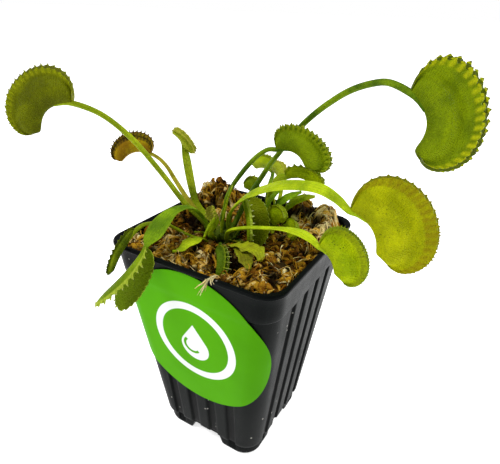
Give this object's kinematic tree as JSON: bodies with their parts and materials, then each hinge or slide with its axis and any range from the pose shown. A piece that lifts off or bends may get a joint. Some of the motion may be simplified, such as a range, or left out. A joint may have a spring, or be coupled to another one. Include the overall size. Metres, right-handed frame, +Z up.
{
  "type": "potted venus flytrap",
  "caption": "Small insect-eating plant in a square fluted nursery pot: winged stalks with toothed two-lobed traps over a bed of dried moss, round label on the front",
  "frame": {"origin": "the middle of the pot's base, at the level its feet stand on", "axes": "+Z up along the pot's axis; -Y faces the side that the label is on; +X faces the fluted side to its right"},
  "size_m": [0.1599, 0.1177, 0.1706],
  "materials": {
    "pot_plastic": "charcoal, satin",
    "moss": "dried sphagnum, matte",
    "label_film": "printed film, semi-gloss",
    "crown": "fleshy leaf base",
    "leaf_green": "leaf skin, satin",
    "leaf_bright": "leaf skin, satin",
    "leaf_dark": "leaf skin, satin",
    "leaf_pale": "leaf skin, satin",
    "leaf_brown": "withering leaf skin, satin"
  },
  "bodies": {
    "root": {"pot": "pot_plastic", "moss_bed": "moss", "label": "label_film", "crown_main": "crown", "crown_rear": "crown", "leaf_far_left": "leaf_green", "leaf_old_brown": "leaf_brown", "leaf_pale_upright": "leaf_pale", "leaf_centre_top": "leaf_dark", "leaf_right_top": "leaf_green", "leaf_right": "leaf_bright", "leaf_front_right": "leaf_bright", "leaf_centre_open": "leaf_green", "leaf_front_open": "leaf_dark", "leaf_left_hanging": "leaf_dark", "leaf_front_small": "leaf_dark", "leaf_torn": "leaf_pale", "leaf_young": "leaf_bright", "leaf_spoon": "leaf_bright", "leaf_round_small": "leaf_green", "leaf_low_right": "leaf_green", "leaf_back_yellow": "leaf_pale", "leaf_back_small": "leaf_pale", "leaf_back_dark": "leaf_dark", "leaf_broad_right": "leaf_bright", "leaf_thin_1": "leaf_dark", "leaf_thin_2": "leaf_green", "leaf_thin_3": "leaf_green"}
  },
  "joints": []
}
